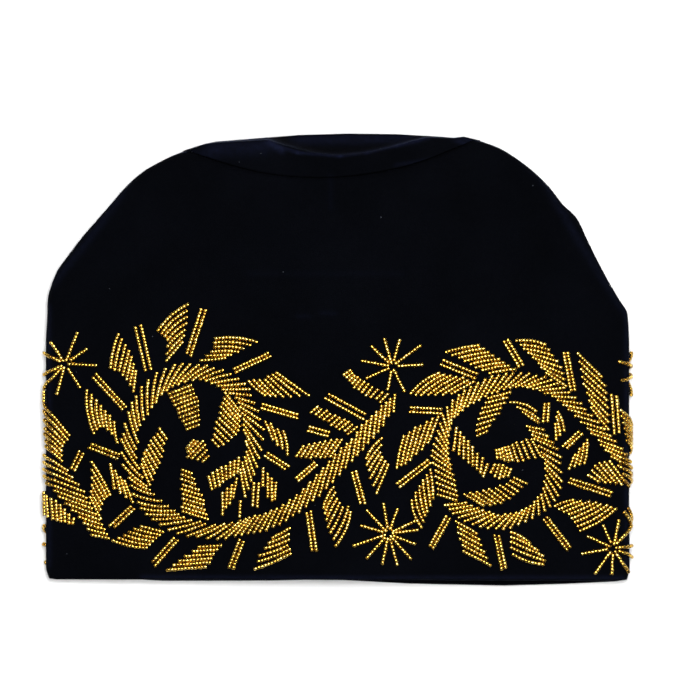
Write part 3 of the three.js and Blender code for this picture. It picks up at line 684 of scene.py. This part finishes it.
def crown_lines(seam, on_back):
    """Lines from each seam point to the crown's far edge, in front over the ridge and the dip."""
    top = dict(zip(SECTION_COLUMNS, SECTIONS[-1]))
    half = (top["right_x"] - top["left_x"]) / 2
    middle = (top["right_x"] + top["left_x"]) / 2
    round_share = np.sqrt(np.clip(1 - ((seam[:, 0] - middle) / half) ** 2, 0, None))
    aside = seam[:, 0] - CROWN_MIDDLE
    far_y = np.interp(seam[:, 0], CROWN_EDGE[:, 0], CROWN_EDGE[:, 1])
    far_z = FOLD_RADIUS + (CROWN_FAR_HEIGHT - FOLD_RADIUS) * round_share
    steps = np.arange(CROWN_CLIMB + CROWN_FALL + 1)[:, None]
    climb = np.minimum(steps / CROWN_CLIMB, 1)
    fall = np.maximum((steps - CROWN_CLIMB) / CROWN_FALL, 0)
    ridge = np.minimum(CROWN_RIDGE_SHARE + CROWN_RIDGE_SPREAD * aside ** 2, CROWN_RIDGE_MOST)
    crest = seam[:, 2] + CROWN_RIDGE_HEIGHT * round_share
    dip = CROWN_DIP * np.clip(1 - (aside / CROWN_DIP_HALF_WIDTH) ** 2, 0, None)
    share = ridge * climb + (1 - ridge) * fall
    height = seam[:, 2] + (crest - seam[:, 2]) * np.sin(climb * math.pi / 2)
    front_z = height + (far_z - height) * fall - dip * np.sin(math.pi * fall ** CROWN_DIP_POWER)
    front_y = seam[:, 1] + (far_y - seam[:, 1]) * share
    turn = steps / steps.max() * math.pi / 2
    back_y = seam[:, 1] + (far_y - seam[:, 1]) * np.sin(turn)
    back_z = far_z + (seam[:, 2] - far_z) * np.cos(turn)
    y = np.where(on_back, back_y, front_y)
    z = np.where(on_back, back_z, front_z)
    x = seam[:, 0] + 0 * y
    return np.stack([x, y + CROWN_GAP, z], axis=-1)


def crown():
    level = np.array([LEVELS[-1]])
    stations = ring_stations(level, WALL_FRONT_STEPS, WALL_FOLD_STEPS)
    seam = cloth(stations, level[:, None] + 0 * stations)[0]
    columns = len(seam)
    back_first = WALL_FRONT_STEPS + 1 + (WALL_FOLD_STEPS - 1) / 2
    back_last = columns - (WALL_FOLD_STEPS - 1) / 2
    j = np.arange(columns)
    on_back = (j > back_first) & (j < back_last)
    rings = crown_lines(seam, on_back)
    piece = add_mesh("velvet_crown", rings.reshape(-1, 3), grid_quads(len(rings), columns), VELVET)
    # Painted sheen on the crown's ridge and far edge, from the strokes
    set_attribute(piece, "nap_and_painted_sheen", strokes(PAINTED_SHEEN_STROKES, rings[..., 0], rings[..., 1]))
    weld(piece)
    thickness = piece.vertex_groups.new(name="thickness")
    across = np.array([vertex.co.x for vertex in piece.data.vertices]) / MM
    inward = np.minimum(across - across.min(), across.max() - across)
    for index, share in enumerate(smooth_step(0, CROWN_TIP_FADE, inward)):
        thickness.add([index], float(share), "REPLACE")
    solidify = piece.modifiers.new("cloth", "SOLIDIFY")
    solidify.thickness = WALL * MM
    solidify.offset = -1
    solidify.vertex_group = thickness.name
    solidify.thickness_vertex_group = CROWN_TIP_THICKNESS
    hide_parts("crown")
    return piece


def weld(piece):
    """Joins points that lie together, with the faces turned outward."""
    edit = bmesh.new()
    edit.from_mesh(piece.data)
    bmesh.ops.remove_doubles(edit, verts=edit.verts, dist=1e-6)
    bmesh.ops.recalc_face_normals(edit, faces=edit.faces)
    edit.normal_update()
    highest = max(edit.faces, key=lambda face: face.calc_center_median().z)
    if highest.normal.z < 0:
        bmesh.ops.reverse_faces(edit, faces=edit.faces)
    edit.to_mesh(piece.data)
    edit.free()


def bead_shape(around, profile):
    """One bead round the X axis: its points and faces."""
    turn = np.arange(around) / around * 2 * math.pi
    x = np.repeat(profile[:, :1], around, axis=1)
    y = profile[:, 1:] * np.cos(turn)
    z = profile[:, 1:] * np.sin(turn)
    points = np.stack([x, y, z], axis=-1).reshape(-1, 3)
    rows = len(profile)
    i, j = np.meshgrid(np.arange(rows), np.arange(around), indexing="ij")
    a = i * around + j
    b = i * around + (j + 1) % around
    c = (i + 1) % rows * around + (j + 1) % around
    d = (i + 1) % rows * around + j
    return points, np.stack([d, c, b, a], axis=-1).reshape(-1, 4)


# Bead profiles: share of half the length, share of the radius
FINE_BEAD = bead_shape(8, np.array([
    (-0.95, 0.45), (-1, 0.9), (-0.75, 1), (0.75, 1), (1, 0.9), (0.95, 0.45),
]))
PLAIN_BEAD = bead_shape(6, np.array([(-1, 0.6), (-0.68, 1), (0.68, 1), (1, 0.6)]))


def back_station(x, y):
    """The distance along the cloth of a chart place that is turned round to the back."""
    return 2 * (section_at(y)["right_x"] - FOLD_RADIUS) + math.pi * FOLD_RADIUS + x


def strand_beads(strand, on_back):
    """Places, directions and normals of the beads on one strand."""
    ax, ay, bx, by, bow = strand
    length = math.hypot(bx - ax, by - ay)
    count = max(2, round(length / BEAD_PITCH))
    t = (np.arange(count) + 0.5) / count
    bend = bow * 4 * t * (1 - t)
    x = ax + (bx - ax) * t - bend * (by - ay) / length
    y = ay + (by - ay) * t + bend * (bx - ax) / length
    x = x + random.normal(0, BEAD_SHIFT, count)
    y = y + random.normal(0, BEAD_SHIFT, count)
    c = back_station(x, y) if on_back else x
    normal = normals_of(cloth, c, y)
    place = cloth(c, y) + normal * (BEAD_RADIUS + BEAD_LIFT)
    along = np.gradient(place, axis=0)
    return place, along, normal


def add_beads(name, strands, on_back=False, nodes=()):
    """One piece that holds every bead of the strands."""
    shape, faces = PLAIN_BEAD if on_back else FINE_BEAD
    parts = [strand_beads(strand, on_back) for strand in strands]
    place, along, normal = (np.concatenate([part[k] for part in parts]) for k in range(3))
    count = len(place)
    pitch = np.linalg.norm(along, axis=1, keepdims=True)
    forward = along + pitch * random.normal(0, BEAD_TURN, (count, 3))
    forward /= np.linalg.norm(forward, axis=1, keepdims=True)
    side = np.cross(normal, forward)
    side /= np.linalg.norm(side, axis=1, keepdims=True)
    up = np.cross(forward, side)
    size = BEAD_RADIUS * random.normal(1, BEAD_SIZE_SPREAD, (count, 1)).clip(*BEAD_SIZE_LIMITS)
    axes = np.stack([forward * pitch * BEAD_FILL / 2, side * size, up * size], axis=1)
    points = place[:, None] + shape @ axes
    all_faces = (faces[None] + np.arange(count)[:, None, None] * len(shape)).reshape(-1, 4)
    piece = add_mesh(name, points.reshape(-1, 3), all_faces, GOLD)
    set_attribute(piece, "bead_tone", np.repeat(random.beta(3, 2, count), len(shape)))
    if nodes:
        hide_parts(*nodes)
    return piece


def spread(charted, shares):
    """Strands at shares from 0 to 1 along the charted ones, on smooth curves through their ends."""
    charted = np.array(charted, float)
    at = np.linspace(0, 1, len(charted))
    if len(charted) > 2:
        slopes = curve_slopes(at, charted)
        slopes[1:-1] = (charted[2:] - charted[:-2]) / (at[2:] - at[:-2])[:, None]
    else:
        slopes = np.repeat(charted[1:] - charted[:1], 2, axis=0)
    i = np.clip((shares * (len(charted) - 1)).astype(int), 0, len(charted) - 2)
    span = at[1] - at[0]
    u = ((shares - at[i]) / span)[:, None]
    a, b, s, e = charted[i], charted[i + 1], slopes[i] * span, slopes[i + 1] * span
    return a + u * s + u * u * (3 * (b - a) - 2 * s - e) + u ** 3 * (2 * (a - b) + s + e)


def uneven(strands):
    """Strands with the slight unevenness of hand sewing at their ends."""
    strands = np.array(strands, float)
    along = strands[:, 2:4] - strands[:, :2]
    along /= np.linalg.norm(along, axis=1, keepdims=True)
    strands[:, :2] += along * random.normal(0, STRAND_END_SPREAD, (len(strands), 1))
    strands[:, 2:4] += along * random.normal(0, STRAND_END_SPREAD, (len(strands), 1))
    strands[:, :4] += random.normal(0, STRAND_SHIFT, (len(strands), 4))
    return strands


def patch_strands(count, charted):
    return uneven(spread(charted, np.linspace(0, 1, count)))


def stem_strands(steps, charted):
    shares = [0.0]
    for k, count in enumerate(steps):
        shares.extend((k + (np.arange(count) + 1) / count) / len(steps))
    return uneven(spread(charted, np.array(shares)))


def bar_strands(bars):
    strands = []
    for ax, ay, bx, by, gap in bars:
        length = math.hypot(bx - ax, by - ay)
        sx, sy = -(by - ay) / length * gap, (bx - ax) / length * gap
        strands.extend((ax + sx * k, ay + sy * k, bx + sx * k, by + sy * k, 0) for k in BAR_HALVES)
    return uneven(strands)


def star_strands(centre, tips):
    strands = []
    for k, (x, y) in enumerate(tips):
        length = math.hypot(x - centre[0], y - centre[1])
        share = STAR_HOLLOWS[k % 2] / length
        start_x = centre[0] + (x - centre[0]) * share
        start_y = centre[1] + (y - centre[1]) * share
        strands.append((start_x, start_y, x, y, 0))
    return uneven(strands)


def front_beads():
    for name, (steps, charted) in STEMS.items():
        add_beads(f"beads_{name}", stem_strands(steps, charted), nodes=(name,))
    for number, (count, charted) in enumerate(LEAVES, start=1):
        name = f"leaf_{number:02d}"
        add_beads(f"beads_{name}", patch_strands(count, charted), nodes=(name,))
    for name, (count, charted) in PETALS.items():
        add_beads(f"beads_{name}", patch_strands(count, charted), nodes=(name,))
    add_beads("beads_bars", np.concatenate([bar_strands(BARS), SINGLE_STRANDS]))
    for name, (centre, tips) in STARS.items():
        add_beads(f"beads_{name}", star_strands(centre, tips))


def back_beads():
    for name, (steps, charted) in STEMS.items():
        if name in FRONT_ONLY_STEMS:
            continue
        kept = BACK_STEM_STRANDS.get(name, len(charted))
        strands = stem_strands(steps[:kept - 1], charted[:kept])
        add_beads(f"back_beads_{name}", strands, True, (f"back_{name}",))
    leaves = [patch_strands(*leaf) for k, leaf in enumerate(LEAVES, start=1) if k not in FRONT_ONLY_LEAVES]
    add_beads("back_beads_leaves", np.concatenate(leaves), True)
    petals = [patch_strands(*petal) for petal in PETALS.values()]
    add_beads("back_beads_petals", np.concatenate(petals), True)
    add_beads("back_beads_bars", bar_strands(BARS), True)
    stars = [star_strands(*star) for name, star in STARS.items() if name not in FRONT_ONLY_STARS]
    add_beads("back_beads_stars", np.concatenate(stars), True)


def stage():
    bpy.ops.mesh.primitive_plane_add(size=12, location=(0, 0, 0))
    floor = bpy.context.object
    floor.name = "floor"
    floor.data.materials.append(floor_material())


def area_light(name, place, size, power):
    light = bpy.data.lights.new(name, "AREA")
    light.shape = "DISK"
    light.size = size
    light.energy = power
    lamp = bpy.data.objects.new(name, light)
    lamp.location = place
    lamp.rotation_euler = (-lamp.location).to_track_quat("-Z", "Y").to_euler()
    bpy.context.collection.objects.link(lamp)


def lights():
    world = bpy.data.worlds.new("studio")
    world.use_nodes = True
    world.node_tree.nodes["Background"].inputs["Color"].default_value = (1, 1, 1, 1)
    world.node_tree.nodes["Background"].inputs["Strength"].default_value = 0.08
    bpy.context.scene.world = world
    area_light("overhead_panel", (0, 0, 4.2), 7.0, 38)
    area_light("top_softbox", (0.1, 0.12, 1.6), 0.85, 36)
    area_light("left_softbox", (-1.7, 0.5, 1.0), 0.8, 2)
    area_light("right_softbox", (1.7, 0.3, 1.0), 0.8, 1.5)


# The camera looks straight down. The picture is PICTURE_WIDTH wide at the height of the cap's front.
PICTURE_WIDTH = 339.5
PICTURE_MIDDLE = (5.3, 109.6)
FRONT_HEIGHT = 14.0
CAMERA_HEIGHT = 3500.0
CAMERA_LENS = 200.0


def camera():
    data = bpy.data.cameras.new("camera")
    data.lens = CAMERA_LENS
    data.sensor_width = CAMERA_LENS * PICTURE_WIDTH / (CAMERA_HEIGHT - FRONT_HEIGHT)
    data.sensor_fit = "HORIZONTAL"
    seen = bpy.data.objects.new("camera", data)
    middle = (np.array([*PICTURE_MIDDLE, CAMERA_HEIGHT]) + SHIFT) * MM
    seen.location = middle.tolist()
    bpy.context.collection.objects.link(seen)
    bpy.context.scene.camera = seen


camera()
side_wall()
crown()
front_beads()
back_beads()
stage()
lights()
bpy.context.scene.view_settings.view_transform = "Standard"
